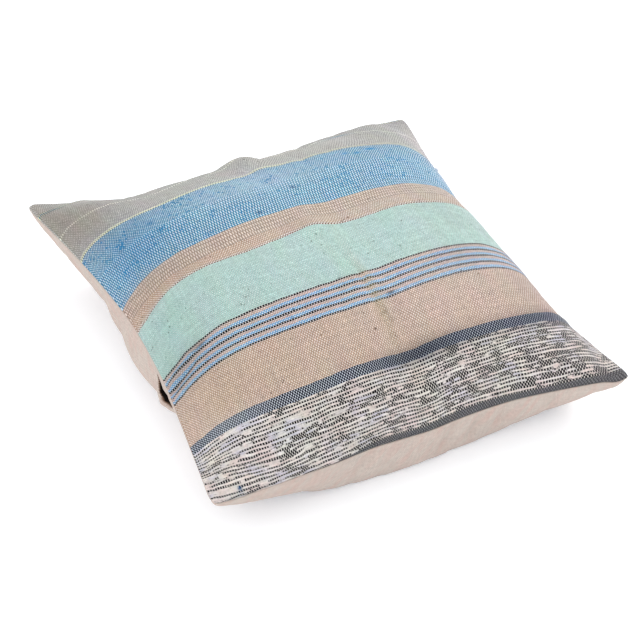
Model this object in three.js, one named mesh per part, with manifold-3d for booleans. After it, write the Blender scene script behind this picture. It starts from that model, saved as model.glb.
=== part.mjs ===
// A filled cushion cover: a striped woven front panel sewn to a plain cotton back panel.
// Millimetres, +Z up. The origin is on the surface that the cushion lies on, under its middle.
// The stripes run along X. The near side, at -Y, is the marled one.
import * as THREE from "three";
import { mergeVertices } from "three/addons/utils/BufferGeometryUtils.js";
import Module from "manifold-3d";

// Everywhere below, s runs from -1 at the left seam to 1 at the right, and t from near to far.

// Where the four corners of the seam stand
const CORNERS = {
  nearLeft: [-214.5, -215.5, 44.5],
  nearRight: [202.5, -209, 44],
  farRight: [214.5, 215.5, 69],
  farLeft: [-207, 204, 66.5],
};

// How far each side is drawn in and lifted between its corners, and how far off its middle that is
const SIDES = {
  near: { from: "nearLeft", to: "nearRight", inX: 0, inY: 1, draw: 9.5, drawSkew: -0.47, lift: 5.5, liftSkew: -0.11 },
  right: { from: "nearRight", to: "farRight", inX: -1, inY: 0, draw: 12, drawSkew: 0.14, lift: -14.5, liftSkew: -0.3 },
  far: { from: "farLeft", to: "farRight", inX: 0, inY: -1, draw: 38.5, drawSkew: 0.19, lift: 10.5, liftSkew: -0.27 },
  left: { from: "nearLeft", to: "farLeft", inX: 1, inY: 0, draw: 25, drawSkew: -0.03, lift: 5.5, liftSkew: -0.04 },
};
const DRAW_POWER = 1.5;
const LIFT_POWER = 2;

// The crown above the seam and the belly below it: height, fullness along s and t, roundness
const CROWN = { height: 74.5, sPower: 3.7, tPower: 2.95, round: 0.82 };
const BELLY = { height: 111, sPower: 1.65, tPower: 4.7, round: 0.55 };
const REST_BLEND = 8; // how softly the belly turns into its flat patch

// Broad lumps and hollows of the front: middle, reach and height of each
const LUMPS = [
  { s: -0.56, t: 0.92, sReach: 0.155, tReach: 0.44, height: -11 },
  { s: -0.115, t: 0.85, sReach: 0.095, tReach: 0.155, height: 18 },
  { s: 0.72, t: 0.99, sReach: 0.17, tReach: 0.1, height: 17.5 },
  { s: -0.82, t: -0.135, sReach: 0.3, tReach: 0.205, height: 15 },
  { s: 0.47, t: 0.41, sReach: 0.31, tReach: 0.32, height: -2.5 },
  { s: -0.33, t: -0.42, sReach: 0.29, tReach: 0.3, height: -2 },
  { s: -0.03, t: -0.4, sReach: 0.06, tReach: 0.42, height: 2.5 },
];

// How far the back's left wall stands out under the seam: place, reach and amount
const WALL_BULGES = [
  { t: 0, tReach: 0.27, out: 17 },
  { t: -0.52, tReach: 0.26, out: -4 },
];
const WALL = { s: -0.95, sReach: 0.18, rise: 0.06 };

// The seam's edge, the parting between the panels, and the grid
const EDGE = 1.2;
const PARTING = 0.3;
const CELLS = 40;
const COARSE = 4; // grid cells to one cell of the hidden face
const CROWDING = 0.55; // how much closer the grid lines lie beside the seam

// The open gap of the closure, in the back's left wall, with the lip below it
const GAP = { s: -0.983, t: -0.3, length: 36, width: 4.5, depth: 12, lipDrop: 3, lipWidth: 7, lipProud: 5 };

const FRONT_CLOTH = { color: 0xb7c0ba, roughness: 0.95, metalness: 0 };
const BACK_CLOTH = { color: 0xd9cfc4, roughness: 0.95, metalness: 0 };

const fade = (w, power) => Math.max(0, 1 - Math.abs(w) ** power);
const swell = (w, power, round) => fade(w, power) ** round;
const bell = (w, middle, reach) => Math.exp(-(((w - middle) / reach) ** 2));

// A point on one side of the seam, w from -1 to 1 along it
function sidePoint(side, w) {
  const a = CORNERS[side.from];
  const b = CORNERS[side.to];
  const draw = side.draw * fade(w + side.drawSkew * (1 - w * w), DRAW_POWER);
  const lift = side.lift * fade(w + side.liftSkew * (1 - w * w), LIFT_POWER);
  const along = new THREE.Vector3(...a).lerp(new THREE.Vector3(...b), (1 + w) / 2);
  return along.add(new THREE.Vector3(side.inX * draw, side.inY * draw, lift));
}

// The surface that the seam spans: the two pairs of sides blended, less their shared corners
function seamPoint(s, t) {
  const point = sidePoint(SIDES.near, s).multiplyScalar((1 - t) / 2);
  point.addScaledVector(sidePoint(SIDES.far, s), (1 + t) / 2);
  point.addScaledVector(sidePoint(SIDES.left, t), (1 - s) / 2);
  point.addScaledVector(sidePoint(SIDES.right, t), (1 + s) / 2);
  const shares = {
    nearLeft: (1 - s) * (1 - t),
    nearRight: (1 + s) * (1 - t),
    farRight: (1 + s) * (1 + t),
    farLeft: (1 - s) * (1 + t),
  };
  for (const [name, share] of Object.entries(shares))
    point.addScaledVector(new THREE.Vector3(...CORNERS[name]), -share / 4);
  return point;
}

function swelling(form, s, t) {
  return form.height * swell(s, form.sPower, form.round) * swell(t, form.tPower, form.round);
}

// Zero below the surface, the value itself well above it, and a smooth turn between
function rested(z) {
  if (z <= -REST_BLEND) return 0;
  if (z >= REST_BLEND) return z;
  return (z + REST_BLEND) ** 2 / (4 * REST_BLEND);
}

function frontPoint(s, t) {
  const point = seamPoint(s, t);
  const held = swell(s, 2, 0.5) * swell(t, 2, 0.5);
  point.z += swelling(CROWN, s, t) + PARTING / 2 + EDGE;
  for (const lump of LUMPS)
    point.z += lump.height * bell(s, lump.s, lump.sReach) * bell(t, lump.t, lump.tReach) * held;
  return point;
}

function backPoint(s, t) {
  const point = seamPoint(s, t);
  point.z = rested(point.z - swelling(BELLY, s, t) - PARTING / 2 - EDGE);
  const onWall = bell(s, WALL.s, WALL.sReach) * Math.min(1, (1 + s) / WALL.rise);
  for (const bulge of WALL_BULGES) point.x -= bulge.out * bell(t, bulge.t, bulge.tReach) * onWall;
  return point;
}

// The hidden face of a panel, half the parting off the seam's surface
const innerPoint = (away) => (s, t) => {
  const point = seamPoint(s, t);
  point.z += (away * PARTING) / 2;
  return point;
};

function gridValue(i) {
  const even = (2 * i) / CELLS - 1;
  return (1 - CROWDING) * even + CROWDING * Math.sin((even * Math.PI) / 2);
}

// The grid nodes round one coarse cell, with all those that lie on the panel's border
function roundCell(i, j) {
  const ring = [];
  const edge = (fromI, fromJ, stepI, stepJ, onBorder) => {
    for (let k = 0; k < COARSE; k += onBorder ? 1 : COARSE)
      ring.push([fromI + k * stepI, fromJ + k * stepJ]);
  };
  edge(i, j, 1, 0, j === 0);
  edge(i + COARSE, j, 0, 1, i + COARSE === CELLS);
  edge(i + COARSE, j + COARSE, -1, 0, j + COARSE === CELLS);
  edge(i, j + COARSE, 0, -1, i === 0);
  return ring;
}

// The border's grid nodes in order, seen from above against the clock
function borderNodes() {
  const border = [];
  for (let k = 0; k < CELLS; k++) border.push([k, 0]);
  for (let k = 0; k < CELLS; k++) border.push([CELLS, k]);
  for (let k = CELLS; k > 0; k--) border.push([k, CELLS]);
  for (let k = CELLS; k > 0; k--) border.push([0, k]);
  return border;
}

// One panel as a closed body: its outer skin, its hidden face and the seam's edge between them
function panelGeometry(outerPoint, hiddenPoint, facing) {
  const positions = [];
  const nodeOf = new Map();
  const node = (layer, i, j) => {
    const key = `${layer} ${i} ${j}`;
    if (!nodeOf.has(key)) {
      const point = (layer === "outer" ? outerPoint : hiddenPoint)(gridValue(i), gridValue(j));
      nodeOf.set(key, positions.length / 3);
      positions.push(...point.toArray());
    }
    return nodeOf.get(key);
  };
  const faces = [];
  const face = (a, b, c) => faces.push(...(facing > 0 ? [a, b, c] : [a, c, b]));

  for (let i = 0; i < CELLS; i++)
    for (let j = 0; j < CELLS; j++) {
      const corners = [node("outer", i, j), node("outer", i + 1, j)];
      corners.push(node("outer", i + 1, j + 1), node("outer", i, j + 1));
      face(corners[0], corners[1], corners[2]);
      face(corners[0], corners[2], corners[3]);
    }
  for (let i = 0; i < CELLS; i += COARSE)
    for (let j = 0; j < CELLS; j += COARSE) {
      const middle = node("hidden", i + COARSE / 2, j + COARSE / 2);
      const ring = roundCell(i, j).map(([a, b]) => node("hidden", a, b));
      ring.forEach((at, k) => face(middle, ring[(k + 1) % ring.length], at));
    }
  const border = borderNodes();
  border.forEach(([i, j], k) => {
    const [nextI, nextJ] = border[(k + 1) % border.length];
    const low = [node("hidden", i, j), node("hidden", nextI, nextJ)];
    const high = [node("outer", i, j), node("outer", nextI, nextJ)];
    face(low[0], low[1], high[1]);
    face(low[0], high[1], high[0]);
  });
  const geometry = new THREE.BufferGeometry();
  geometry.setAttribute("position", new THREE.Float32BufferAttribute(positions, 3));
  geometry.setIndex(faces);
  return geometry;
}

// A long lens that lies along the back's wall, sunk or raised by its place
function wallLens(length, width, depth, drop) {
  const step = 0.03;
  const middle = backPoint(GAP.s, GAP.t);
  const along = backPoint(GAP.s, GAP.t + step).sub(backPoint(GAP.s, GAP.t - step)).normalize();
  const across = backPoint(GAP.s + step / 4, GAP.t).sub(backPoint(GAP.s - step / 4, GAP.t));
  const out = new THREE.Vector3().crossVectors(along, across).normalize();
  if (out.x > 0) out.negate();
  const down = new THREE.Vector3().crossVectors(out, along).normalize();
  if (down.z > 0) down.negate();
  const lens = new THREE.SphereGeometry(1, 20, 12).scale(length / 2, width / 2, depth / 2);
  const turn = new THREE.Matrix4().makeBasis(along, down, out);
  if (turn.determinant() < 0) turn.makeBasis(along.negate(), down, out);
  lens.applyMatrix4(turn.setPosition(middle.addScaledVector(down, drop)));
  return lens;
}

const wasm = await Module();
wasm.setup();

function solidOf(geometry) {
  const bare = geometry.clone();
  bare.deleteAttribute("normal");
  bare.deleteAttribute("uv");
  const merged = mergeVertices(bare);
  const vertProperties = merged.getAttribute("position").array;
  return new wasm.Manifold(
    new wasm.Mesh({ numProp: 3, vertProperties, triVerts: new Uint32Array(merged.index.array) }),
  );
}

function geometryOf(solid) {
  const made = solid.getMesh();
  const geometry = new THREE.BufferGeometry();
  geometry.setAttribute("position", new THREE.BufferAttribute(made.vertProperties, 3));
  geometry.setIndex(new THREE.BufferAttribute(made.triVerts, 1));
  return geometry;
}

function frontPanel() {
  return panelGeometry(frontPoint, innerPoint(1), 1);
}

function backPanel() {
  const body = solidOf(panelGeometry(backPoint, innerPoint(-1), -1));
  const lip = solidOf(wallLens(GAP.length + 4, GAP.lipWidth, GAP.lipProud, GAP.lipDrop));
  const gap = solidOf(wallLens(GAP.length, GAP.width, GAP.depth, 0));
  return geometryOf(body.add(lip).subtract(gap));
}

function named(name, geometry, cloth) {
  geometry.computeVertexNormals();
  const mesh = new THREE.Mesh(geometry, new THREE.MeshStandardMaterial(cloth));
  mesh.name = name;
  return mesh;
}

const cushion = new THREE.Group();
cushion.add(named("front_panel", frontPanel(), FRONT_CLOTH));
cushion.add(named("back_panel", backPanel(), BACK_CLOTH));

export default cushion;
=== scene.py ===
"""A filled cushion cover: a striped handwoven front sewn to a plain cotton back.

The sizes in the tables are millimetres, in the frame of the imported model, and the meshes are in metres.
The stripes run along X. On each panel s runs from -1 at the left seam to 1 at the right, and t runs from
the near seam to the far one in the same way.
"""
import math

import bpy
import numpy as np
from mathutils import Matrix, Vector


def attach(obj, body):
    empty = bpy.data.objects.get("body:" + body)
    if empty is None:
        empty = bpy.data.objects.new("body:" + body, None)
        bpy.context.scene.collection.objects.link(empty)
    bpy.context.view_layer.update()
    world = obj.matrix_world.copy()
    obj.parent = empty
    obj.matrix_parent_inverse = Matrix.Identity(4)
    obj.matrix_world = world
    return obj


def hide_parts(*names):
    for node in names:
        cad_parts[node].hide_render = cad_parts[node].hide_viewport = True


MM = 0.001
NEARLY_ZERO = 1e-6

# Where the seam's four corners stand, and the side and end that each is at
CORNERS = {
    "near_left": (-214.5, -215.5, 44.5),
    "near_right": (205.4, -211, 44),
    "far_right": (214.5, 215.5, 69),
    "far_left": (-210, 202.6, 70.5),
}
CORNER_SIGNS = ((-1, -1), (1, -1), (1, 1), (-1, 1))

# How far each side is drawn in and lifted between its corners, and how far off its middle that is most.
# Its waves: the place from -1 to 1, the reach, and how far inward and how far up the side moves there
SIDES = {
    "near": dict(ends=("near_left", "near_right"), inward=(0, 1, 0),
                 draw=9.5, draw_skew=-0.47, lift=5.5, lift_skew=-0.11,
                 waves=((-0.28, 0.12, 0, 2), (0, 0.1, 0, -1.6), (0.35, 0.25, 0, 1.8), (0.93, 0.05, 0, -2.5))),
    "right": dict(ends=("near_right", "far_right"), inward=(-1, 0, 0),
                  draw=13, draw_skew=0.14, lift=-14.5, lift_skew=-0.3,
                  waves=((-0.58, 0.3, 5.2, 0), (0.24, 0.12, 4, 0))),
    "far": dict(ends=("far_left", "far_right"), inward=(0, -1, 0),
                draw=38.5, draw_skew=0.19, lift=8, lift_skew=-0.27,
                waves=((-0.7, 0.15, 0, -4.6),)),
    "left": dict(ends=("near_left", "far_left"), inward=(1, 0, 0),
                 draw=25, draw_skew=-0.03, lift=5.5, lift_skew=-0.04,
                 waves=((-0.35, 0.2, 1.3, 0),)),
}
DRAW_POWER = 1.5
LIFT_POWER = 2

# The crown above the seam and the belly below it: height, fullness along s and t, roundness
CROWN = dict(height=74.5, s_power=3.7, t_power=2.95, roundness=0.82)
BELLY = dict(height=111, s_power=1.65, t_power=4.7, roundness=0.55)
REST_BLEND = 8  # how softly the belly turns into its flat patch

# The corners are a little rounded, and thick with turned-in cloth: its rise from the seam, its reach, and its
# heights at the left and the right corners, near and far
CORNER_ROUND = 0.012
CORNER_POWER = 40
CORNER_PLUMP = dict(rise=0.009, reach=0.055)
CORNER_HEIGHTS = ((3.4, 6.5), (6, 4.6))

# Broad lumps and hollows of the front: s, t, reach along each, height
LUMPS = (
    (-0.56, 0.92, 0.155, 0.44, -11),
    (-0.115, 0.85, 0.095, 0.155, 18),
    (0.72, 0.99, 0.17, 0.1, 17.5),
    (-0.82, -0.135, 0.3, 0.205, 15),
    (0.47, 0.41, 0.31, 0.32, -2.5),
    (-0.33, -0.42, 0.29, 0.3, -2),
)

# Smaller ones that make the stripes wander, in the same columns
UNDULATIONS = (
    (-0.6, 0.9, 0.15, 0.14, -9),
    (-0.2, 0.88, 0.05, 0.12, -3.5),
    (0.03, 0.88, 0.06, 0.12, 2.5),
    (-0.16, 0.1, 0.1, 0.13, 3.6),
    (-0.78, 0.17, 0.14, 0.12, 3.2),
    (-0.67, 0.55, 0.07, 0.1, -2),
    (-0.52, 0.52, 0.09, 0.1, 1.6),
    (-0.08, 0.57, 0.06, 0.08, -1.6),
    (0.06, 0.6, 0.05, 0.08, 1.2),
    (0.28, 0.57, 0.06, 0.08, -1.8),
    (0.45, -0.6, 0.2, 0.2, -1.2),
)

# Small folds of the front: start and end in millimetres on the cloth, reach across, height, and lean:
# 0 is a ridge or a trough, and 1 is a step that dips on one side of its line and rises on the other
FOLDS = (
    ((-9, -146), (-15, -24), 4.5, 1.5, 1),
    ((-222, -30), (-196, -24), 4, -1.6, 0),
    ((-196, -24), (-192, -6), 4, -1.1, 0),
    ((-222, -20), (-200, -14), 4, 0.9, 0),
    ((-222, -79), (-176, -70), 4, 2.2, 0),
    ((-222, -88), (-182, -80), 3.5, -1.8, 0),
    ((-150, 205), (-196, 190), 5, 1.2, 0),
    ((199, 122), (205, 122), 2, 2.2, 0),
)

# Small folds of the back, in the same columns
BACK_FOLDS = (
    ((30, -216), (18, -180), 7, -4.5, 0),
    ((62, -216), (48, -182), 7, -5, 0),
    ((88, -216), (78, -190), 6, -3.6, 0),
    ((-60, -216), (-74, -188), 7, -3.4, 0),
    ((140, -216), (132, -194), 6, -2.6, 0),
)

# Where the belly is less deep than its plain form, in the columns of the lumps
BELLY_DENTS = (
    (-0.66, -0.9, 0.26, 0.2, 29),
    (0.1, -0.9, 0.35, 0.2, 6),
    (0.62, -0.9, 0.2, 0.2, 15),
    (-0.98, 0.97, 0.1, 0.1, 22),
)

# How far the back's left wall stands out under the seam: t, reach, amount; and where on s that is
WALL_BULGES = ((0.0, 0.3, 15), (-0.52, 0.26, -3), (0.3, 0.1, 1.5))
WALL = dict(s=-0.95, reach=0.18, rise=0.06)

# The seam: each panel's folded edge, the parting between them, and the sewing's small gathers
EDGE = 1.2
PARTING = 0.3
FOLD_OUT = 1.0
FOLD_STEPS = 5
HIDDEN_SHARES = (0.97, 0.7, 0.4, 0)
GATHER_DEPTH = 0.55
GATHER_REACH = 10
GATHER_WAVES = (7, 11, 17, 29)
GATHER_SEED = 11
# How far from the seam, as a share of half the panel, the folds and the simulation come in fully
FOLDS_FULL = 0.02
SIM_FULL = 0.01

# The open gap of the closure in the back's left wall: a slanting slit whose far half bends up, with a lip
# below it. Its mouth gets painted shade, near black and thinning to brownish at its near end. Only points
# near the wall belong to it
GAP = dict(s=-0.985, t=-0.306, length=36.5, width=4.8, depth=7, slant=1, bend=6.5, near=1 / 3,
           lip_drop=1.8, lip_edge=0.6, lip_width=6, lip_proud=8, lip_skew=0.5, lip_longer=1.1,
           shade_drop=1, shade_width=3.6, shade_slope=2, shade_share=0.54, shade_thinning=3)
# The painted shade's width along the mouth is (1 + a) * sqrt(1 - a): its greatest value, and the least of
# each factor
MOUTH_WIDEST = 1.089
MOUTH_LEAST = 0.001

# Each panel's grid: cells across it, how much closer the lines lie beside the seam, and where they
# lie closer still along s and along t: middle, reach, how many times more
FRONT_GRID = dict(cells=280, crowding=0.7, closer_s=(), closer_t=())
BACK_GRID = dict(cells=256, crowding=1.0, closer_s=(-0.983, 0.02, 4.5), closer_t=(-0.3, 0.1, 2))

# The cloth simulation: its cells, its frames, the blur in cells that tells the broad swelling from the small
# folds, the share of these that is kept, the most that a point may move, and up to which height it is held
SIM = dict(cells=96, crowding=0.6, frames=20, broad=7, share=0.5, most=1.8, resting=0.5)
SIM_CLOTH = dict(quality=6, mass=0.3, tension_stiffness=12, compression_stiffness=12, shear_stiffness=4,
                 bending_stiffness=0.2, use_pressure=True, uniform_pressure_force=4, shrink_min=-0.02,
                 vertex_group_mass="held")

# Half of the woven panel's width and length, from seam to seam
HALF_WIDE = 218
HALF_LONG = 215
# How far the stripes run out of square with the near seam, and how much that changes towards the far one
STRIPE_SKEW = -0.048
STRIPE_TAPER = 0.0136

# Where the stripes wander off their straight run: middle, reach along and across them, and how far
WANDERS = (
    (110, -148, 90, 33, -4.8),
    (-10, -148, 30, 30, -1),
    (-212, -186, 24, 15, 5),
    (-158, -192, 24, 14, -2.5),
    (-120, -90, 75, 20, 2.4),
    (-195, -92, 22, 14, 1.2),
    (-205, -72, 30, 10, -1.2),
    (140, -220, 70, 22, -3.6),
    (30, -216, 40, 14, 2.2),
    (-50, -214, 30, 13, 2.8),
    (-150, -57, 60, 9, 0.9),
    (80, -57, 40, 14, -1.4),
    (-205, 10, 12, 9, -2),
    (-170, 10, 18, 9, 2),
    (-100, 10, 24, 9, -3.2),
    (-38, 10, 20, 9, 3.4),
    (28, 10, 34, 10, -2.8),
    (110, 10, 30, 12, -2.3),
    (-178, 42, 30, 13, 4),
    (-85, 42, 50, 13, 2.8),
    (52, 42, 45, 13, -2.2),
    (150, 42, 22, 14, 2.5),
    (-155, 123, 24, 14, -3.4),
    (-62, 123, 16, 14, -3.2),
    (-18, 123, 20, 14, -2.4),
    (100, 123, 32, 14, -5),
    (175, 123, 18, 14, -3.2),
)

# The yarns' pitch: lengthwise ends, crosswise picks, rows of the coarse weave, and where these start
END = 1.22
PICK = 1.66
COARSE_ROW = 4.43
COARSE_START = 1.63
# The ends lie closer on the left and wider on the right: their number per pitch, how it changes along x,
# and how far they drift
END_CLOSER = 0.9
END_WIDER = 0.00048
END_DRIFT = 3.0
BACK_PITCH = 0.85
ROW_READ = 0.75  # where on a row its stripe is read, as a share of the pick
# The thin lines: picks from one dark line to the next, where the first lies, how much wider its yarn is
LINE_PERIOD = 5 * PICK
LINE_START = -56 * PICK
LINE_END = -35 * PICK
LINE_SWELL = 0.37

BLUE = (82, 40)  # the blue stripe's middle and half width

COLOURS = {
    "cream": "ede5df", "ivory": "f8f7ea", "pale grey": "d2d1cd", "pale blue": "c8dcea",
    "pale sand": "e2d3c8", "pale gold": "dfd1c8", "pale mint": "c6d8d4", "pale navy": "ccd4e0",
    "pale ink": "c2bdbb", "pale sky": "cfe0ee", "ash": "8b8b8d", "charcoal": "424144",
    "black": "06060c", "navy": "0b1122", "ink": "05080f", "sand": "ad8f7b", "gold": "a28f80",
    "sky": "6299c6", "mauve": "b59b92", "pale mauve": "e0d4d0", "mint": "a9cbc5", "maroon": "6e4c42",
    "ochre": "a07c50", "slate": "1d2444", "blue": "1a7399", "soft blue": "1c779c", "cyan": "2a8fb0",
    "bright blue": "2488c4", "violet": "5a6fa8", "haze": "d2ccd2", "olive": "b3a06c", "teal": "7fb5a8",
    "umber": "887a6c", "lime": "eef3cd", "deep blue": "0c74a6", "dark blue": "0a4a7a", "dark": "15181c",
    "tobacco": "6e5336", "grey": "999996", "pale marl": "d9d3ce", "pink marl": "d6c8c3",
    # The gap colours are painted shade for the gap's mouth: near black inside, brownish at its rim
    "lilac marl": "c8c4cd", "gap": "0d0603", "gap rim shade": "7d6353", "blush": "d3b0a6", "speck": "8a6a58",
    "back ends": "d6cac1", "back picks": "c8bab0",
}


def linear(name):
    """A named colour, as a material wants it."""
    digits = COLOURS[name]
    parts = [int(digits[i:i + 2], 16) / 255 for i in (0, 2, 4)]
    return tuple(c / 12.92 if c <= 0.04045 else ((c + 0.055) / 1.055) ** 2.4 for c in parts) + (1.0,)


def thin_lines():
    """The group of thin lines: dark, then sky, mauve and dark four times over."""
    lines = [(LINE_START, "ink", "pale ink", 1.15)]
    for line in range(4):
        at = LINE_START + PICK + line * LINE_PERIOD
        lines.append((at, "sky", "pale sky", 0.4))
        lines.append((at + 2 * PICK, "mauve", "pale mauve", 0.3))
        lines.append((at + 4 * PICK, "ink", "pale ink", 1.15))
    return lines


# The stripes from near to far: where each starts, its crosswise and lengthwise yarn, how far the crosswise
# yarn covers, and where it isn't none, the share of coarse weave and of marled yarn
STRIPES = [
    (-225, "charcoal", "ash", 0.8),
    (-212.5, "black", "pale marl", 1.2, 0, 1),
    (-152.7, "navy", "pale navy", 1.15),
    (-143.4, "sand", "pale sand", 0.3),
    *thin_lines(),
    (LINE_END, "mint", "pale mint", 0.3),
    (5 * PICK, "maroon", "cream", 0.4),
    (6 * PICK, "gold", "cream", 0.1),
    (7 * PICK, "sand", "pale sand", 0.3),
    (COARSE_START + 5 * COARSE_ROW, "gold", "pale gold", 0.3, 1, 0),
    (COARSE_START + 9 * COARSE_ROW, "soft blue", "pale blue", 0.3, 1, 0),
    (COARSE_START + 20 * COARSE_ROW, "blue", "pale blue", 0.3),
    (122.5, "lime", "umber", 0.7),
    (124.2, "lime", "pale grey", -0.1),
    (125.9, "grey", "pale grey", 0.3),
    (162.3, "ivory", "grey", 1.1),
    (164, "grey", "pale grey", 0.3),
    (200.8, "lime", "grey", 0.2),
    (202.5, "deep blue", "lime", 0.8),
    (204.2, "lime", "grey", 0.4),
    (205.9, "grey", "pale grey", 0.3),
]

# How much the marled yarn's stretches and patches, every other row and the place along x count in where it
# is pale, how much more the pale yarn covers, and where and how far the marled stripe's rows wander
MARL = dict(stretch=1.2, patch=0.5, other_row=0.24, darker=-0.0003, cover=0.75,
            middle=-182, half=30, wander=6)

# Where the cloth's colour leans to another: middle, reach along and across the stripes, towards which colour
# and how far
# Most rows are the yarns' own hue; the few marked ones are painted light and shade
HUE_AND_LIGHT_PATCHES = (
    (-160, -118, 42, 20, "olive", 0.14),
    (-12, -85, 5, 50, "olive", 0.26),
    (60, -95, 90, 40, "haze", 0.12),
    (-190, -22, 34, 26, "teal", 0.28),
    (-190, -22, 34, 26, "grey", 0.1),
    (90, -148, 120, 9, "slate", 0.3),
    (8, -148, 42, 9, "navy", 0.5),
    (-175, -148, 26, 9, "pale navy", 0.12),
    (50, 18, 100, 6, "pale mint", 0.2),
    (150, -148, 40, 9, "slate", 0.36),
    (-190, 30, 44, 20, "ochre", 0.28),
    (-195, -72, 34, 26, "dark", 0.28),
    (90, -72, 34, 20, "dark", 0.12),
    (140, -22, 60, 30, "grey", 0.24),
    (170, -110, 50, 36, "ash", 0.26),
    (110, 26, 60, 26, "grey", 0.2),
    (140, 155, 60, 40, "ash", 0.3),
    (-150, 203.5, 24, 3.6, "grey", 0.8),
    (-204, 203, 15, 2.6, "dark blue", 0.6),
    (92, 163.2, 16, 2.2, "blue", 0.7),
    (205, 200, 30, 25, "ash", 0.4),
    # Painted shade at the far right corner's tip
    (208, 204, 18, 20, "dark", 0.22),
    (205, -212, 22, 8, "dark", 0.3),
    # Painted highlight: a pale strip near the far left silhouette
    (-170, 199, 28, 9, "pale grey", 0.4),
    # Painted light: a paler patch on the far slope
    (70, 150, 40, 14, "pale grey", 0.25),
    (150, 123.6, 90, 2.4, "pale grey", 0.6),
    (-45, 102, 70, 24, "pale blue", 0.3),
    (-200, 160, 42, 50, "umber", 0.5),
    # Painted sheen: the right seam's slope turned pale lavender
    (222, 40, 46, 170, "haze", 0.6),
    (-225, 185, 24, 34, "umber", 0.4),
    (-178, 82, 40, 40, "deep blue", 0.35),
    (201, 122, 3, 2, "deep blue", 0.7),
    (74, 106, 4, 2.2, "bright blue", 0.9),
    (93, 112, 7, 2.4, "bright blue", 1),
    (62, 110, 3.5, 2, "bright blue", 0.8),
    (110, 123.6, 150, 2.4, "grey", 0.6),
    (-145, 84, 3, 2.6, "deep blue", 0.85),
    (-18, 74, 2.8, 2.4, "dark blue", 0.85),
    (-64, 49, 2.8, 2.4, "dark blue", 0.85),
    (-98, 77, 2.6, 2.2, "deep blue", 0.8),
    (-148, 100, 3, 2.2, "deep blue", 0.8),
    (3, -88.5, 4.5, 1.7, "dark", 0.85),
    (-171, -63, 7, 1.7, "dark", 0.6),
    (-36, -57, 2.2, 1.4, "dark", 0.6),
    (-192.5, -203, 2, 2, "dark blue", 0.9),
    (-9, -104, 1.7, 2.6, "tobacco", 0.45),
    (-6, -113, 1.6, 3.2, "tobacco", 0.4),
)

UNEVEN = 1.4  # how far the picks wander across the stripes
TINT = 0.07  # how strongly the hue wanders
STOPS_PER_RAMP = 6
COVER_SCALE = 2  # the cover is kept in a colour's channel as a share of this

# Uneven areas of the cloth: waves in a millimetre along x and y, and the noise's layer and detail
BLOTCHES = {
    "drift": (0.03, 0.03, 0, 1),
    "uneven rows": (0.11, 0.45, 0, 1),
    "marl patches": (1 / 36, 1 / 2.6, 3.3, 1),
    "marl waves": (1 / 38, 1 / 14, 9.1, 1),
    "marl hues": (0.05, 0.11, 4.4, 1),
    "slub groups": (0.025, 0.05, 7.7, 1),
    "grain": (0.3, 0.26, 6.1, 3),
    "tint": (0.07, 0.025, 2.2, 3),
    "back grain": (0.4, 0.4, 0, 3),
}
# Uneven stretches of single yarns: their length, and the seed and detail of the noise
STRETCHES = {
    "marl": (12, 0.5, 4),
    "blue hues": (16, 21.5, 2),
    "slubs": (3.2, 15.5, 1),
    "picks": (24, 4.5, 3),
    "ends": (70, 8.5, 2),
    "back picks": (25, 2.5, 2),
    "back ends": (25, 6.5, 2),
    "back specks": (1.2, 31.5, 1),
}
YARNS_APART = (900, 77)  # how far apart in the noise two yarns may lie
# Over which values something makes the colour lighter, and from how dark to how light
TONES = {
    "picks": (0.3, 0.7, 0.87, 1.13),
    "ends": (0.3, 0.7, 0.9, 1.08),
    # The depth tones are painted shade between the yarns: the cloth darker where the weave lies low
    "depth": (0, 1.6, 0.3, 1),
    "grain": (0.3, 0.7, 0.91, 1.09),
    "crossings": (0, 1, 0.93, 1.06),
    "back picks": (0.3, 0.7, 0.86, 1.1),
    "back ends": (0.3, 0.7, 0.9, 1.08),
    # Painted shade between the back's yarns, as for the front
    "back crevice shade": (0, 1.7, 0.6, 1),
    "back grain": (0.3, 0.7, 0.92, 1.07),
}
# Where a value turns something on: its half way, its width and its strength. A width below zero turns it
# on for low values
TURNS = {
    "end on top": (0, 0.25, 1),
    "marl": (1.012, 0.07, 1),
    "pink marl": (0.58, 0.12, 1),
    "lilac marl": (0.42, -0.12, 1),
    "cyan": (0.56, 0.12, 0.5),
    "violet": (0.44, -0.12, 0.25),
    "slubs": (0.94, 0.08, 0.8),
    "blush": (0.58, 0.3, 0.55),
    "speck": (0.76, 0.08, 0.6),
    # The gap's two: where the painted shade of its mouth turns brownish, and then near black
    "gap rim shade": (0.25, 0.5, 1),
    "gap": (0.7, 0.4, 1),
}
# The slubs: how much their groups and the blue stripe add to them, and how dark they are
SLUBS = dict(grouped=0.35, in_blue=0.1, dark=(0.3, 0.28, 0.25, 1))
# The back's blush runs at a slant: its waves in a millimetre of x and of y, both ways, layer and detail
BLUSH = dict(waves=((0.16, 0.1), (-0.05, 0.02)), layer=5.5, detail=4)
RELIEF = 0.22  # how high the front's yarns stand, and then the back's
BACK_RELIEF = 0.12
CLOTH_FINISH = {"Roughness": 0.9, "Sheen Weight": 0.03, "Sheen Roughness": 0.5, "Specular IOR Level": 0.05}

FLOOR_SIZE = 8  # half the floor's side, in metres
FLOOR_FINISH = {"Base Color": (1, 1, 1, 1), "Roughness": 0.8,
                "Emission Color": (0.64, 0.8, 0.96, 1), "Emission Strength": 0.195}

# The camera: a long lens that looks down on the near left corner
CAMERA = dict(turn=-32.03, height=36.83, roll=6.005, distance=1730, target=(-5.4, -12.8, 29),
              lens=105, sensor=36, farthest=50)

# The lamps, in metres: place, size, power and colour, and where both aim
LAMPS = (
    ("key", (2, 0.6, 1.3), 1.4, 26, (1, 0.99, 0.97)),
    ("fill", (-1.8, -0.6, 1), 1.8, 10, (1, 0.99, 1)),
)
LAMPS_AIM = (0, 0, 0.05)


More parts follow.
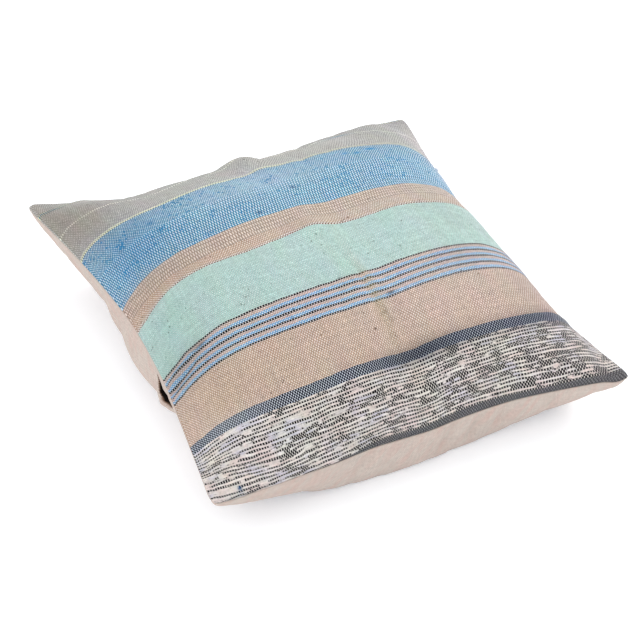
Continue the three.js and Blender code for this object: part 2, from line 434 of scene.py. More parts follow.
def linked(name, data):
    """A new object of the data, in the scene."""
    made = bpy.data.objects.new(name, data)
    bpy.context.collection.objects.link(made)
    return made


def fade(w, power):
    return np.clip(1 - np.abs(w) ** power, 0, None)


def swell(w, power, roundness):
    return fade(w, power) ** roundness


def bell(w, middle, reach):
    return np.exp(-(((w - middle) / reach) ** 2))


def bumps(rows, x, y):
    """The height of round bumps and hollows: their middles, their reaches and their heights."""
    return sum(height * bell(x, a, reach_a) * bell(y, b, reach_b) for a, b, reach_a, reach_b, height in rows)


def off_seam(s, t):
    """0 along the seam and 1 in the panel's middle."""
    return swell(s, 2, 0.5) * swell(t, 2, 0.5)


def past_seam(s, t, full):
    """0 along the seam, and 1 from a share of half the panel on."""
    return np.clip(1 - np.maximum(np.abs(s), np.abs(t)), 0, full) / full


def side_points(side, w):
    """Points of one side of the seam, w from -1 to 1 along it."""
    start, end = (np.array(CORNERS[name]) for name in side["ends"])
    w = np.asarray(w, float)[..., None]
    draw = side["draw"] * fade(w + side["draw_skew"] * (1 - w * w), DRAW_POWER)
    lift = side["lift"] * fade(w + side["lift_skew"] * (1 - w * w), LIFT_POWER)
    along = start * (1 - w) / 2 + end * (1 + w) / 2
    for middle, reach, inward, height in side["waves"]:
        draw = draw + inward * bell(w, middle, reach)
        lift = lift + height * bell(w, middle, reach)
    return along + side["inward"] * draw + (0, 0, 1) * lift


def rounded(w, other):
    """The place across the panel, drawn in a little towards the corners."""
    return w * (1 - CORNER_ROUND * np.abs(other) ** CORNER_POWER)


def plump(s, t):
    """The extra thickness near each corner."""
    from_side, from_end = 1 - np.abs(s), 1 - np.abs(t)
    rise = (1 - np.exp(-from_side / CORNER_PLUMP["rise"])) * (1 - np.exp(-from_end / CORNER_PLUMP["rise"]))
    heights = np.array(CORNER_HEIGHTS)[(s >= 0).astype(int), (t >= 0).astype(int)]
    return heights * rise * np.exp(-(from_side + from_end) / CORNER_PLUMP["reach"])


def seam_surface(s, t):
    """The surface that the seam spans: the two pairs of sides blended, less their shared corners."""
    s, t = rounded(s, t), rounded(t, s)
    a, b = s[..., None], t[..., None]
    points = side_points(SIDES["near"], s) * (1 - b) / 2 + side_points(SIDES["far"], s) * (1 + b) / 2
    points += side_points(SIDES["left"], t) * (1 - a) / 2 + side_points(SIDES["right"], t) * (1 + a) / 2
    for corner, (side, end) in zip(CORNERS.values(), CORNER_SIGNS):
        points -= corner * ((1 + side * a) * (1 + end * b)) / 4
    return points


def thickness(form, s, t):
    """How far a panel's plain form stands off the seam's surface."""
    swelling = swell(s, form["s_power"], form["roundness"]) * swell(t, form["t_power"], form["roundness"])
    return form["height"] * swelling + plump(s, t) + PARTING / 2 + EDGE


def rested(z):
    """Zero below the surface, the value itself well above it, and a smooth turn between."""
    return np.where(z < REST_BLEND, np.maximum(z + REST_BLEND, 0) ** 2 / (4 * REST_BLEND), z)


def front_points(s, t, lumps=LUMPS):
    points = seam_surface(s, t)
    points[..., 2] += thickness(CROWN, s, t) + bumps(lumps, s, t) * off_seam(s, t)
    return points


def back_points(s, t):
    points = seam_surface(s, t)
    depth = thickness(BELLY, s, t) - bumps(BELLY_DENTS, s, t) * off_seam(s, t)
    points[..., 2] = rested(points[..., 2] - depth)
    on_wall = bell(s, WALL["s"], WALL["reach"]) * np.clip((1 + s) / WALL["rise"], 0, 1)
    for middle, reach, out in WALL_BULGES:
        points[..., 0] -= out * bell(t, middle, reach) * on_wall
    return points


def unit(vectors):
    return vectors / np.linalg.norm(vectors, axis=-1, keepdims=True)


def gap_frame():
    """The gap's middle on the back's wall, and its directions along it, down and out."""
    step = 0.03
    s = GAP["s"] + step / 4 * np.array((0, 0, 0, -1, 1))
    t = GAP["t"] + step * np.array((0, -1, 1, 0, 0))
    middle, near, far, outer, inner = back_points(s, t)
    along = unit(far - near)
    out = unit(np.cross(along, inner - outer))
    out *= -np.sign(out[0])
    down = np.cross(out, along)
    return middle, along, down * -np.sign(down[2]), out


def gap_shape(points):
    """The points with the gap pressed in and its lip raised, and how much painted shade each gets."""
    middle, along, down, out = gap_frame()
    off = points - middle
    near = np.abs(off @ out) < GAP["length"] * GAP["near"]
    a = off @ along / (GAP["length"] / 2)
    d = off @ down + GAP["slant"] * a + GAP["bend"] * np.clip(a, 0, 1) ** 2
    width = GAP["width"] / 2
    fall = a * a * np.where(a > 0, a * a, 1)
    inside = np.clip(1 - fall - (d / width) ** 2, 0, None) * near
    below = d - GAP["lip_drop"]
    edge = 1 / (1 + np.exp(-below / GAP["lip_edge"]))
    proud = GAP["lip_proud"] * fade(a / GAP["lip_longer"], 2) * (1 - GAP["lip_skew"] * a)
    lip = edge * np.exp(-(below / GAP["lip_width"]) ** 2) * near
    moved = proud * lip - GAP["depth"] * inside * (1 - edge)
    # The mouth's painted shade: a pointed lens, weaker towards the near end
    nearer, farther = np.clip(1 + a, MOUTH_LEAST, None), np.clip(1 - a, MOUTH_LEAST, None)
    half = GAP["shade_width"] * nearer * np.sqrt(farther) / MOUTH_WIDEST
    lens = np.clip(GAP["shade_slope"] * (1 - np.abs(d - GAP["shade_drop"]) / half), 0, 1) * near
    turn = 1 + GAP["shade_thinning"] * np.clip(-a, 0, 1)
    return points + out * moved[..., None], lens * np.clip((GAP["shade_share"] * proud - moved) / turn, 0, 1)


def grid_lines(cells, crowding, closer):
    """Places of the grid's lines from -1 to 1."""
    samples = 4001
    even = np.linspace(-1, 1, samples)
    places = (1 - crowding) * even + crowding * np.sin(even * np.pi / 2)
    weight = np.ones_like(even)
    if closer:
        middle, reach, more = closer
        weight += more * bell(places, middle, reach)
    count = np.cumsum(weight) - weight[0]
    return np.interp(np.linspace(0, count[-1], cells + 1), count, places)


def panel_grid(grid):
    closer = (grid["closer_s"], grid["closer_t"])
    return np.meshgrid(*(grid_lines(grid["cells"], grid["crowding"], part) for part in closer), indexing="ij")


def lengths_along(points, axis):
    """How far along the cloth each grid point lies, from 0 at the first line of the axis."""
    steps = np.linalg.norm(np.diff(points, axis=axis), axis=-1)
    first = np.zeros_like(np.take(steps, [0], axis=axis))
    return np.concatenate([first, np.cumsum(steps, axis=axis)], axis=axis)


def cloth_places(points):
    """Where each grid point lies on the flat cloth, as (u, v) from -1 to 1 between the seams."""
    along_s, along_t = lengths_along(points, 0), lengths_along(points, 1)
    return 2 * along_s / along_s[-1:] - 1, 2 * along_t / along_t[:, -1:] - 1


def stripe_places(u, v):
    """Millimetres along the stripes and across them, for a cloth place."""
    straight = (v + (STRIPE_SKEW + STRIPE_TAPER / 2) * u) / (1 + STRIPE_TAPER / 2 * u)
    x, y = u * HALF_WIDE, straight * HALF_LONG
    return x, y - bumps(WANDERS, x, y)


def ripple(x, seed):
    """A smooth uneven wave of about unit size, the same on every run."""
    draw = np.random.default_rng(seed)
    total = sum(np.sin(2 * np.pi * x / wave + draw.uniform(0, 2 * np.pi)) for wave in GATHER_WAVES)
    return total / math.sqrt(len(GATHER_WAVES) / 2)


def gathers(s, t, x, y):
    """The sewing's small gathers: a wave along each seam that dies away from it."""
    total = np.zeros_like(s)
    edges = ((HALF_LONG + y, x), (HALF_LONG - y, x), (HALF_WIDE + x, y), (HALF_WIDE - x, y))
    for seed, (off, along) in enumerate(edges, GATHER_SEED):
        near = np.exp(-np.clip(off, 0, None) / GATHER_REACH)
        total += near * ripple(along, seed)
    return GATHER_DEPTH * total * off_seam(s, t)


def folds(rows, x, y):
    """The small folds' height at places on the cloth."""
    total = np.zeros_like(x)
    place = np.stack([x, y], -1)
    for start, end, reach, height, lean in rows:
        start, end = np.array(start, float), np.array(end, float)
        length = np.linalg.norm(end - start)
        ahead = (end - start) / length
        along = (place - start) @ ahead / length
        off = (place - start) @ np.array((ahead[1], -ahead[0])) / reach
        profile = np.exp(-off**2) * (1 - lean + lean * off * math.sqrt(2))
        total += height * profile * fade(2 * along - 1, 4)
    return total


def grid_quads(index):
    """The grid's cells, each from its first point and then along s."""
    corners = [index[:-1, :-1], index[1:, :-1], index[1:, 1:], index[:-1, 1:]]
    return np.stack(corners, -1).reshape(-1, 4)


def ring_of(cells):
    """The border's rows and columns, against the clock from the near left corner."""
    low, high = np.zeros(cells, int), np.full(cells, cells)
    up, down = np.arange(cells), np.arange(cells, 0, -1)
    return np.concatenate([up, high, down, low]), np.concatenate([low, up, high, down])


def ring_outward(ring):
    """The level direction out of the panel at each point of its border."""
    along = np.roll(ring, -1, axis=0) - np.roll(ring, 1, axis=0)
    return unit(np.stack([along[:, 1], -along[:, 0], np.zeros(len(ring))], -1))


def folded_edge(ring, facing):
    """Rings that turn the panel's edge over and under, towards the seam's parting."""
    outward = ring_outward(ring)
    rings = []
    for step in range(1, FOLD_STEPS + 1):
        angle = math.pi * step / FOLD_STEPS
        drop = facing * EDGE / 2 * (1 - math.cos(angle))
        rings.append(ring + (outward * FOLD_OUT * math.sin(angle) - (0, 0, drop)))
    return rings


def hidden_rings(ring_s, ring_t, facing):
    """Rings on the panel's hidden face, the last of them all in its middle."""
    rings = [seam_surface(ring_s * share, ring_t * share) for share in HIDDEN_SHARES]
    return [ring + (0, 0, facing * PARTING / 2) for ring in rings]


def panel_mesh(name, s, t, points, places, facing):
    """One panel as a closed mesh: its skin, its folded edge and its hidden face."""
    cells = s.shape[0] - 1
    index = np.arange((cells + 1) ** 2).reshape(cells + 1, cells + 1)
    quads = [grid_quads(index)]
    border = ring_of(cells)
    fold = folded_edge(points[border], facing)
    *hidden, middle = hidden_rings(s[border], t[border], facing)
    vertices = [points.reshape(-1, 3)] + fold + hidden + [middle[:1]]
    previous = index[border]
    around = len(previous)
    start = index.size
    for _ in fold + hidden:
        following = np.arange(start, start + around)
        band = [np.roll(previous, -1), previous, following, np.roll(following, -1)]
        quads.append(np.stack(band, -1))
        previous = following
        start += around
    fan = np.stack([np.roll(previous, -1), previous, np.full(around, start)], -1)
    faces = np.concatenate(quads)[:, ::facing].tolist() + fan[:, ::facing].tolist()
    mesh = bpy.data.meshes.new(name)
    mesh.from_pydata((np.concatenate(vertices) * MM).tolist(), [], faces)
    mesh.shade_smooth()
    add_maps(mesh, np.stack(places, -1), border, len(fold), len(hidden))
    return linked(name, mesh)


def add_maps(mesh, places, border, folds, hidden):
    """The cloth's own map in millimetres, and one that fills the unit square for baking."""
    cloth = [places.reshape(-1, 2)]
    for step in range(1, folds + hidden + 1):
        over = min(step, folds) * EDGE * math.pi / 2 / folds
        cloth.append(places[border] + np.sign(places[border]) * over)
    cloth.append(np.zeros((1, 2)))
    cloth = np.concatenate(cloth)
    margin = 0.006
    centre = np.array((0.5, 0.5))
    places = places / (2 * HALF_WIDE, 2 * HALF_LONG) + centre
    square = [places.reshape(-1, 2)]
    ring = places[border]
    for more in np.interp(range(1, folds + hidden + 1), (0, folds, folds + hidden), (0, 1, 2)):
        square.append(centre + (ring - centre) * (1 + 2 * margin * more))
    square.append(np.zeros((1, 2)))
    square = np.clip(centre + (np.concatenate(square) - centre) * (1 - 6 * margin), 0, 1)
    corner = np.empty(len(mesh.loops), np.int32)
    mesh.loops.foreach_get("vertex_index", corner)
    for name, values in (("cloth", cloth), ("OFBake", square)):
        layer = mesh.uv_layers.new(name=name)
        layer.data.foreach_set("uv", values[corner].astype(np.float32).ravel())


def simulation_mesh(front, back):
    """Both panels' coarse grids as one closed skin, joined along the seam, and which points are held."""
    count = front.shape[0]
    index = np.arange(count * count).reshape(count, count)
    under = index + count * count
    edge = np.zeros((count, count), bool)
    edge[[0, -1]] = edge[:, [0, -1]] = True
    under[edge] = index[edge]
    turned = [0, 3, 2, 1]
    faces = np.concatenate([grid_quads(index), grid_quads(under)[:, turned]])
    mesh = bpy.data.meshes.new("simulated")
    vertices = np.concatenate([front.reshape(-1, 3), back.reshape(-1, 3)])
    mesh.from_pydata((vertices * MM).tolist(), [], faces.tolist())
    resting = back[..., 2] < SIM["resting"]
    held = np.concatenate([index[edge], under[resting & ~edge], index[edge] + count * count])
    return mesh, held


def simulated(front, back):
    """How far the cloth simulation moves each point of the two coarse grids, in millimetres."""
    mesh, held = simulation_mesh(front, back)
    skin = linked("simulated", mesh)
    skin.vertex_groups.new(name="held").add(held.tolist(), 1.0, "REPLACE")
    cloth = skin.modifiers.new("cloth", "CLOTH")
    for name, value in SIM_CLOTH.items():
        setattr(cloth.settings, name, value)
    cloth.settings.effector_weights.gravity = 0
    cloth.collision_settings.use_collision = False
    scene = bpy.context.scene
    for frame_number in range(1, SIM["frames"] + 1):
        scene.frame_set(frame_number)
    settled = skin.evaluated_get(bpy.context.evaluated_depsgraph_get())
    after = np.empty(len(mesh.vertices) * 3, np.float32)
    settled.data.vertices.foreach_get("co", after)
    before = np.empty_like(after)
    mesh.vertices.foreach_get("co", before)
    moved = ((after - before) / MM).reshape(2, *front.shape)
    scene.frame_set(1)
    bpy.data.objects.remove(skin)
    bpy.data.meshes.remove(mesh)
    return moved


def blurred(field, reach):
    """The field smoothed along both directions of its grid."""
    end = 3 * reach
    weights = np.exp(-0.5 * (np.arange(-end, end + 1) / reach) ** 2)
    weights /= weights.sum()
    for axis in (0, 1):
        pads = [(0, 0)] * field.ndim
        pads[axis] = (end, end)
        padded = np.pad(field, pads, "reflect", reflect_type="odd")
        length = field.shape[axis]
        field = sum(w * padded.take(range(k, k + length), axis) for k, w in enumerate(weights))
    return field


def small_folds():
    """The simulation's small folds on each panel: its movement less the broad swelling, capped."""
    lines = grid_lines(SIM["cells"], SIM["crowding"], ())
    s, t = np.meshgrid(lines, lines, indexing="ij")
    kept = []
    for moved in simulated(front_points(s, t, LUMPS + UNDULATIONS), back_points(s, t)):
        moved = SIM["share"] * (moved - blurred(moved, SIM["broad"]))
        length = np.linalg.norm(moved, axis=-1, keepdims=True)
        kept.append((lines, moved * np.minimum(1, SIM["most"] / np.maximum(length, NEARLY_ZERO))))
    return kept


def smooth_reading(places, lines):
    """Weights that read values kept on the coarse lines at other places, along a smooth curve."""
    at = np.interp(places, lines, np.arange(len(lines)))
    base = np.clip(np.floor(at).astype(int), 0, len(lines) - 2)
    f = at - base
    shares = (-f + 2 * f**2 - f**3, 2 - 5 * f**2 + 3 * f**3, f + 4 * f**2 - 3 * f**3, f**3 - f**2)
    weights = np.zeros((len(places), len(lines)))
    for step, share in enumerate(shares):
        column = np.clip(base + step - 1, 0, len(lines) - 1)
        np.add.at(weights, (np.arange(len(places)), column), share / 2)
    return weights


def creased(points, s, t, x, y, rows, facing, simulated_folds):
    """The points with the seam's gathers, the small folds of the rows and those of the simulation."""
    out = gathers(s, t, x, y) + folds(rows, x, y) * past_seam(x / HALF_WIDE, y / HALF_LONG, FOLDS_FULL)
    normals = unit(np.cross(np.gradient(points, axis=0), np.gradient(points, axis=1)))
    points = points + facing * normals * out[..., None]
    if simulated_folds is None:
        return points
    lines, moved = simulated_folds
    across, along = smooth_reading(s[:, 0], lines), smooth_reading(t[0], lines)
    return points + np.einsum("ia,abk,jb->ijk", across, moved, along) * past_seam(s, t, SIM_FULL)[..., None]


def patches(x, y):
    """The colour each place leans to and how far, in the fourth channel; a few are painted light and shade.
    """
    colours = np.zeros((*x.shape, 4))
    for at_x, at_y, reach_x, reach_y, name, most in HUE_AND_LIGHT_PATCHES:
        share = (most * bell(x, at_x, reach_x) * bell(y, at_y, reach_y))[..., None]
        kept = colours[..., 3:] * (1 - share)
        total = kept + share
        hue = colours[..., :3] * kept + np.array(linear(name)[:3]) * share
        hue /= np.maximum(total, NEARLY_ZERO)
        colours = np.concatenate([hue, total], -1)
    return colours


def keep_on_points(piece, name, kind, field, values):
    """Values of the grid's points kept on the piece, with zeros on its folded edge and hidden face."""
    kept = np.zeros((len(piece.data.vertices), values.shape[-1]), np.float32)
    kept[:values[..., 0].size] = values.reshape(-1, values.shape[-1])
    piece.data.attributes.new(name, kind, "POINT").data.foreach_set(field, kept.ravel())


def front_panel(small):
    s, t = panel_grid(FRONT_GRID)
    u, v = cloth_places(front_points(s, t))
    points = front_points(s, t, LUMPS + UNDULATIONS)
    points = creased(points, s, t, u * HALF_WIDE, v * HALF_LONG, FOLDS, 1, small)
    places = stripe_places(u, v)
    piece = panel_mesh("striped_front", s, t, points, places, 1)
    keep_on_points(piece, "patches", "FLOAT_COLOR", "color", patches(*places))
    return piece


def back_panel(small):
    s, t = panel_grid(BACK_GRID)
    points = back_points(s, t)
    u, v = cloth_places(points)
    x, y = u * HALF_WIDE, v * HALF_LONG
    # dark is the painted shade of the gap's mouth, kept on the points below
    points, dark = gap_shape(creased(points, s, t, x, y, BACK_FOLDS, -1, small))
    piece = panel_mesh("plain_back", s, t, points, (x, y), -1)
    keep_on_points(piece, "dark", "FLOAT", "value", dark[..., None])
    return piece


class Paint:
    """One material's nodes, added and linked by plain calls."""

    def __init__(self, name):
        self.material = bpy.data.materials.new(name)
        self.material.use_nodes = True
        self.tree = self.material.node_tree
        self.surface = self.tree.nodes["Principled BSDF"].inputs

    def put(self, values, sockets):
        for place, value in dict(values).items():
            if isinstance(value, bpy.types.NodeSocket):
                self.tree.links.new(value, sockets[place])
            else:
                sockets[place].default_value = value

    def node(self, kind, inputs=(), **settings):
        """What a new node gives."""
        made = self.tree.nodes.new("ShaderNode" + kind)
        for name, value in settings.items():
            setattr(made, name, value)
        self.put(inputs, made.inputs)
        return made.outputs

    def math(self, operation, *values, clamp=False):
        return self.node("Math", enumerate(values), operation=operation, use_clamp=clamp)[0]

    def times(self, first, second):
        return self.math("MULTIPLY", first, second)

    def scaled(self, value, factor, added, clamp=False):
        return self.math("MULTIPLY_ADD", value, factor, added, clamp=clamp)

    def count(self, value, pitch):
        """The number of the yarn at a place, counted from the cloth's middle."""
        return self.math("FLOOR", self.math("DIVIDE", value, pitch))

    def dome(self, off, clamp=False):
        """1 where the value is 0, falling in a round curve to 0 at -1 and 1."""
        return self.math("SUBTRACT", 1.0, self.times(off, off), clamp=clamp)

    def mix(self, share, first, second, blend="MIX"):
        inputs = {0: share, 6: first, 7: second}
        return self.node("Mix", inputs, data_type="RGBA", blend_type=blend)[2]

    def between(self, share, first, second):
        return self.node("Mix", {0: share, 2: first, 3: second}, data_type="FLOAT")[0]

    def shaded(self, colour, tone):
        return self.mix(1.0, colour, tone, "MULTIPLY")

    def toned(self, kind, colour, value):
        """The colour, darker where the value is low and lighter where it is high."""
        return self.shaded(colour, self.node("MapRange", enumerate((value, *TONES[kind])))[0])

    def turned_on(self, kind, value):
        """How strong something is that sets in at a value."""
        middle, width, most = TURNS[kind]
        return self.times(self.scaled(value, 1 / width, 0.5 - middle / width, clamp=True), most)

    def coloured(self, colour, value, names, share=1.0):
        """The colour turned towards each named one where the value turns that on."""
        for name in names:
            colour = self.mix(self.times(self.turned_on(name, value), share), colour, linear(name))
        return colour

    def place(self, x, y, z=0.0):
        return self.node("CombineXYZ", enumerate((x, y, z)))[0]

    def noise(self, place, detail, output="Fac"):
        return self.node("TexNoise", {"Vector": place, "Scale": 1.0, "Detail": detail})[output]

    def blotches(self, kind, x, y, output="Fac"):
        """Noise that makes uneven areas of the cloth."""
        waves_x, waves_y, layer, detail = BLOTCHES[kind]
        return self.noise(self.place(self.times(x, waves_x), self.times(y, waves_y), layer), detail, output)

    def stretches(self, kind, along, number):
        """Noise that runs along each yarn, of its own number, and starts afresh on the next."""
        length, seed, detail = STRETCHES[kind]
        number = self.math("ADD", number, seed)
        chance = self.node("TexWhiteNoise", {"W": number}, noise_dimensions="1D")[0]
        apart, aside = YARNS_APART
        run = self.scaled(along, 1 / length, self.times(chance, apart))
        return self.noise(self.place(run, self.times(chance, aside)), detail)

    def ramp(self, value, stops):
        """Colours that change at once at each stop, of (from, colour) pairs from low to high."""
        low, high = stops[0][0], stops[-1][0] + 1
        share = self.math("DIVIDE", self.math("SUBTRACT", value, low), high - low)
        made = self.node("ValToRGB", {0: share})["Color"]
        ramp = made.node.color_ramp
        ramp.interpolation = "CONSTANT"
        for number, (start, colour) in enumerate(stops):
            stop = ramp.elements[0] if number == 0 else ramp.elements.new((start - low) / (high - low))
            stop.color = colour
        ramp.elements.remove(ramp.elements[len(ramp.elements) - 1])
        return made

    def steps(self, value, stops):
        """The same for many stops: a ramp keeps 256 places only, so each few stops get their own."""
        colours = self.ramp(value, stops[:STOPS_PER_RAMP])
        for first in range(STOPS_PER_RAMP, len(stops), STOPS_PER_RAMP):
            part = stops[first:first + STOPS_PER_RAMP]
            beyond = self.math("GREATER_THAN", value, part[0][0])
            colours = self.mix(beyond, colours, self.ramp(value, part))
        return colours

    def finish(self, colour, height, relief):
        bump = self.node("Bump", {"Height": height, "Distance": relief * MM, "Strength": 1.0})
        self.put({**CLOTH_FINISH, "Base Color": colour, "Normal": bump[0]}, self.surface)
        return self.material


def yarn_round(paint, number):
    """1 on a yarn's middle line and 0 at its sides."""
    return paint.dome(paint.scaled(paint.math("FRACT", number), 2.0, -1.0))


def yarn_wave(paint, along, number):
    """A yarn's way over one crossing yarn and under the next, the other way round for the yarn beside it."""
    odd = paint.math("FLOORED_MODULO", paint.math("FLOOR", number), 2.0)
    wave = paint.math("SINE", paint.times(along, math.pi))
    return paint.times(wave, paint.scaled(odd, -2.0, 1.0))


def plain_weave(paint, x, y, across, along, cover):
    """Where the lengthwise yarn lies on top, and the height in yarn radii."""
    column = paint.math("DIVIDE", x, across)
    row = paint.math("DIVIDE", y, along)
    warp = paint.math("ADD", yarn_wave(paint, row, column), yarn_round(paint, column))
    weft = paint.math("SUBTRACT", yarn_round(paint, row), yarn_wave(paint, column, row))
    weft = paint.math("ADD", weft, cover)
    on_top = paint.turned_on("end on top", paint.math("SUBTRACT", warp, weft))
    return on_top, paint.math("MAXIMUM", warp, weft)


def cloth_position(paint):
    return paint.node("SeparateXYZ", {0: paint.node("UVMap", uv_map="cloth")[0]})[:2]


def uneven_yarns(paint, kind, picks, ends, x, y, row, end):
    """Both yarns' colours, darker and lighter along each single yarn."""
    picks = paint.toned(kind + "picks", picks, paint.stretches(kind + "picks", x, row))
    ends = paint.toned(kind + "ends", ends, paint.stretches(kind + "ends", y, end))
    return picks, ends


def stripe_ramps(paint, row_place):
    """Both yarns' colours in each row, and the weave's shares and cover."""
    starts = [stripe[0] for stripe in STRIPES]
    colours = [[linear(stripe[yarn]) for stripe in STRIPES] for yarn in (1, 2)]
    weaves = [(*(shares or (0, 0)), cover / COVER_SCALE, 1) for _, _, _, cover, *shares in STRIPES]
    picks, ends, weave = (paint.steps(row_place, list(zip(starts, kind))) for kind in (*colours, weaves))
    coarse, marled, cover = paint.node("SeparateColor", {0: weave})
    return picks, ends, coarse, marled, paint.times(cover, COVER_SCALE)


def marl_wander(paint, x, y):
    """How far the marled stripe's rows stray, most along its middle."""
    off = paint.math("DIVIDE", paint.math("SUBTRACT", y, MARL["middle"]), MARL["half"])
    height = paint.scaled(paint.blotches("marl waves", x, y), MARL["wander"], -MARL["wander"] / 2)
    return paint.times(height, paint.dome(off, clamp=True))


def swollen_lines(paint, x, y):
    """The place across the stripes, with uneven rows and room for the thin group's thick dark yarn."""
    uneven = paint.math("SUBTRACT", paint.blotches("uneven rows", x, y), 0.5)
    y = paint.scaled(uneven, UNEVEN, y)
    y = paint.math("ADD", y, marl_wander(paint, x, y))
    inside = paint.math("COMPARE", y, (LINE_START + LINE_END) / 2, (LINE_END - LINE_START) / 2)
    waves = 2 * math.pi / LINE_PERIOD
    swelling = paint.math("SINE", paint.scaled(y, waves, -waves * (LINE_START + PICK / 2)))
    return paint.scaled(paint.times(swelling, inside), -LINE_SWELL, y)


def marled(paint, picks, cover, share, x, y, row):
    """The crosswise yarn with the marl's pale stretches, mostly in every other row, and its cover."""
    stretch = paint.times(paint.stretches("marl", x, row), MARL["stretch"])
    total = paint.scaled(paint.blotches("marl patches", x, y), MARL["patch"], stretch)
    total = paint.scaled(x, MARL["darker"], total)
    total = paint.scaled(paint.math("FLOORED_MODULO", row, 2.0), MARL["other_row"], total)
    pale = paint.times(paint.turned_on("marl", total), share)
    hues = paint.blotches("marl hues", x, y)
    colour = paint.coloured(linear("pale marl"), hues, ("pink marl", "lilac marl"))
    return paint.mix(pale, picks, colour), paint.scaled(pale, MARL["cover"], cover)


def specked(paint, cloth, picks, blue, x, y, row):
    """Small dark slubs of the crosswise yarn, in loose groups."""
    slubs = paint.stretches("slubs", x, row)
    slubs = paint.scaled(paint.blotches("slub groups", x, y), SLUBS["grouped"], slubs)
    slubs = paint.scaled(blue, SLUBS["in_blue"], slubs)
    dark = paint.mix(blue, paint.shaded(picks, SLUBS["dark"]), linear("deep blue"))
    return paint.mix(paint.turned_on("slubs", slubs), cloth, dark)


def tinted(paint, cloth, x, y):
    """A slight unevenness of hue, from a noise that is doubled and so is 1 on average."""
    hues = paint.shaded(paint.blotches("tint", x, y, "Color"), (2, 2, 2, 1))
    return paint.mix(TINT, cloth, paint.shaded(cloth, hues))


def striped_cloth():
    paint = Paint("striped_cloth")
    x, y = cloth_position(paint)
    x = paint.times(x, paint.scaled(x, -END_WIDER, END_CLOSER))
    x = paint.scaled(paint.blotches("drift", x, y), END_DRIFT, x)
    y = swollen_lines(paint, x, y)
    row, end = paint.count(y, PICK), paint.count(x, END)
    blue = paint.math("COMPARE", y, *BLUE)

    row_place = paint.times(paint.math("ADD", row, ROW_READ), PICK)
    picks, ends, coarse, marl_share, cover = stripe_ramps(paint, row_place)
    picks = paint.coloured(picks, paint.stretches("blue hues", x, row), ("cyan", "violet"), blue)
    picks, cover = marled(paint, picks, cover, marl_share, x, y, row)
    # The patches: mostly the yarns' own hue, in a few places painted light and shade
    patch = paint.node("Attribute", attribute_name="patches")
    picks, ends = (paint.mix(patch["Alpha"], yarn, patch["Color"]) for yarn in (picks, ends))

    fine_weave = plain_weave(paint, x, y, END, PICK, cover)
    coarse_y = paint.math("SUBTRACT", y, COARSE_START)
    coarse_weave = plain_weave(paint, x, coarse_y, END, COARSE_ROW, cover)
    top, height = (paint.between(coarse, *pair) for pair in zip(fine_weave, coarse_weave))

    picks, ends = uneven_yarns(paint, "", picks, ends, x, y, row, end)
    # Painted shade between the yarns: darker where the weave lies low
    cloth = paint.toned("depth", paint.mix(top, picks, ends), height)
    cloth = paint.toned("grain", cloth, paint.blotches("grain", x, y))
    place = {"Vector": paint.place(end, row)}
    crossing = paint.node("TexWhiteNoise", place, noise_dimensions="2D")[0]
    cloth = paint.toned("crossings", cloth, crossing)
    cloth = tinted(paint, specked(paint, cloth, picks, blue, x, y, row), x, y)
    return paint.finish(cloth, height, RELIEF)


def plain_cloth():
    paint = Paint("plain_cloth")
    x, y = cloth_position(paint)
    row, end = paint.count(y, BACK_PITCH), paint.count(x, BACK_PITCH)
    top, height = plain_weave(paint, x, y, BACK_PITCH, BACK_PITCH, 0.0)
    picks, ends = linear("back picks"), linear("back ends")
    picks, ends = uneven_yarns(paint, "back ", picks, ends, x, y, row, end)
    slanted = [paint.scaled(y, by_y, paint.times(x, by_x)) for by_x, by_y in BLUSH["waves"]]
    blush = paint.noise(paint.place(*slanted, BLUSH["layer"]), BLUSH["detail"])
    cloth = paint.coloured(paint.mix(top, picks, ends), blush, ("blush",))
    cloth = paint.toned("back grain", cloth, paint.blotches("back grain", x, y))
    # Painted shade between the yarns: darker where the weave lies low
    cloth = paint.toned("back crevice shade", cloth, height)
    cloth = paint.coloured(cloth, paint.stretches("back specks", x, row), ("speck",))
    # Painted shade in the gap's mouth: brownish at its rim and near end, near black inside
    dark = paint.node("Attribute", attribute_name="dark")["Fac"]
    cloth = paint.coloured(cloth, dark, ("gap rim shade", "gap"))
    return paint.finish(cloth, height, BACK_RELIEF)


def stage_floor():
    mesh = bpy.data.meshes.new("floor")
    mesh.from_pydata([(x * FLOOR_SIZE, y * FLOOR_SIZE, 0) for x, y in CORNER_SIGNS], [], [(0, 1, 2, 3)])
    paint = Paint("floor")
    paint.put(FLOOR_FINISH, paint.surface)
    mesh.materials.append(paint.material)
    linked("floor", mesh)


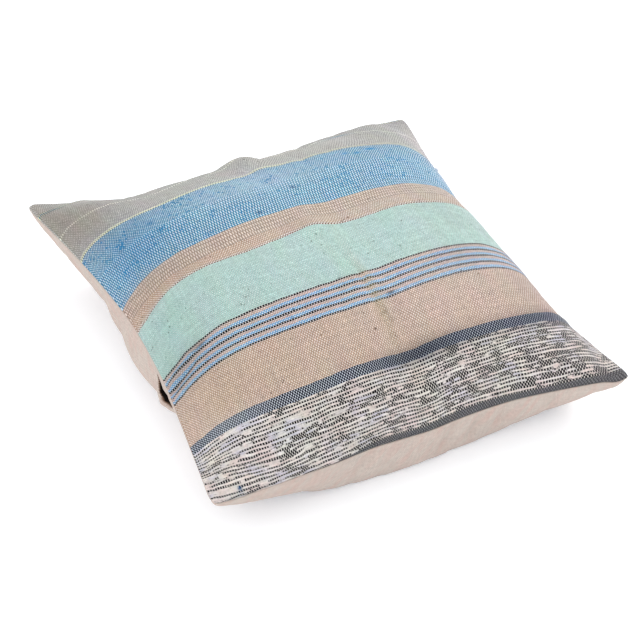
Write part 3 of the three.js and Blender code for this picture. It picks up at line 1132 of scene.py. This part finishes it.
def camera():
    turn, height, roll = (math.radians(CAMERA[angle]) for angle in ("turn", "height", "roll"))
    back = Vector((math.sin(turn) * math.cos(height), -math.cos(turn) * math.cos(height), math.sin(height)))
    level = Vector((math.cos(turn), math.sin(turn), 0))
    upright = level.cross(-back)
    right = math.cos(roll) * level + math.sin(roll) * upright
    up = math.cos(roll) * upright - math.sin(roll) * level
    data = bpy.data.cameras.new("camera")
    data.lens = CAMERA["lens"]
    data.sensor_width = CAMERA["sensor"]
    data.clip_end = CAMERA["farthest"]
    place = Vector(CAMERA["target"]) + back * CAMERA["distance"]
    seen_from = linked("camera", data)
    seen_from.matrix_world = Matrix.Translation(place * MM) @ Matrix((right, up, back)).transposed().to_4x4()
    bpy.context.scene.camera = seen_from


def lighting():
    world = bpy.data.worlds.new("studio")
    world.use_nodes = True
    sky = world.node_tree.nodes["Background"]
    sky.inputs["Color"].default_value = (1, 1, 1, 1)
    sky.inputs["Strength"].default_value = 1.0
    bpy.context.scene.world = world
    for name, place, size, power, colour in LAMPS:
        data = bpy.data.lights.new(name, "AREA")
        data.shape = "DISK"
        data.size = size
        data.energy = power
        data.color = colour
        lamp = linked(name, data)
        lamp.location = place
        lamp.rotation_euler = (Vector(place) - Vector(LAMPS_AIM)).to_track_quat("Z", "Y").to_euler()
    bpy.context.scene.view_settings.view_transform = "Standard"


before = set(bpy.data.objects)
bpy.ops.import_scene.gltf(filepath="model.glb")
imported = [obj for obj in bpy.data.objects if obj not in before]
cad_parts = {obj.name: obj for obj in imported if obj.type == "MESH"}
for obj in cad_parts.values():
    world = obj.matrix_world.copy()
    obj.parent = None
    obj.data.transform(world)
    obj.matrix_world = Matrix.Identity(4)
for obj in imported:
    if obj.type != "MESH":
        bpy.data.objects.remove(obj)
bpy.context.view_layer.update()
camera()
stage_floor()
lighting()
small = small_folds()
front = front_panel(small[0])
back = back_panel(small[1])
front.data.materials.append(striped_cloth())
back.data.materials.append(plain_cloth())
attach(front, "root")
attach(back, "root")
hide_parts("front_panel")
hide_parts("back_panel")
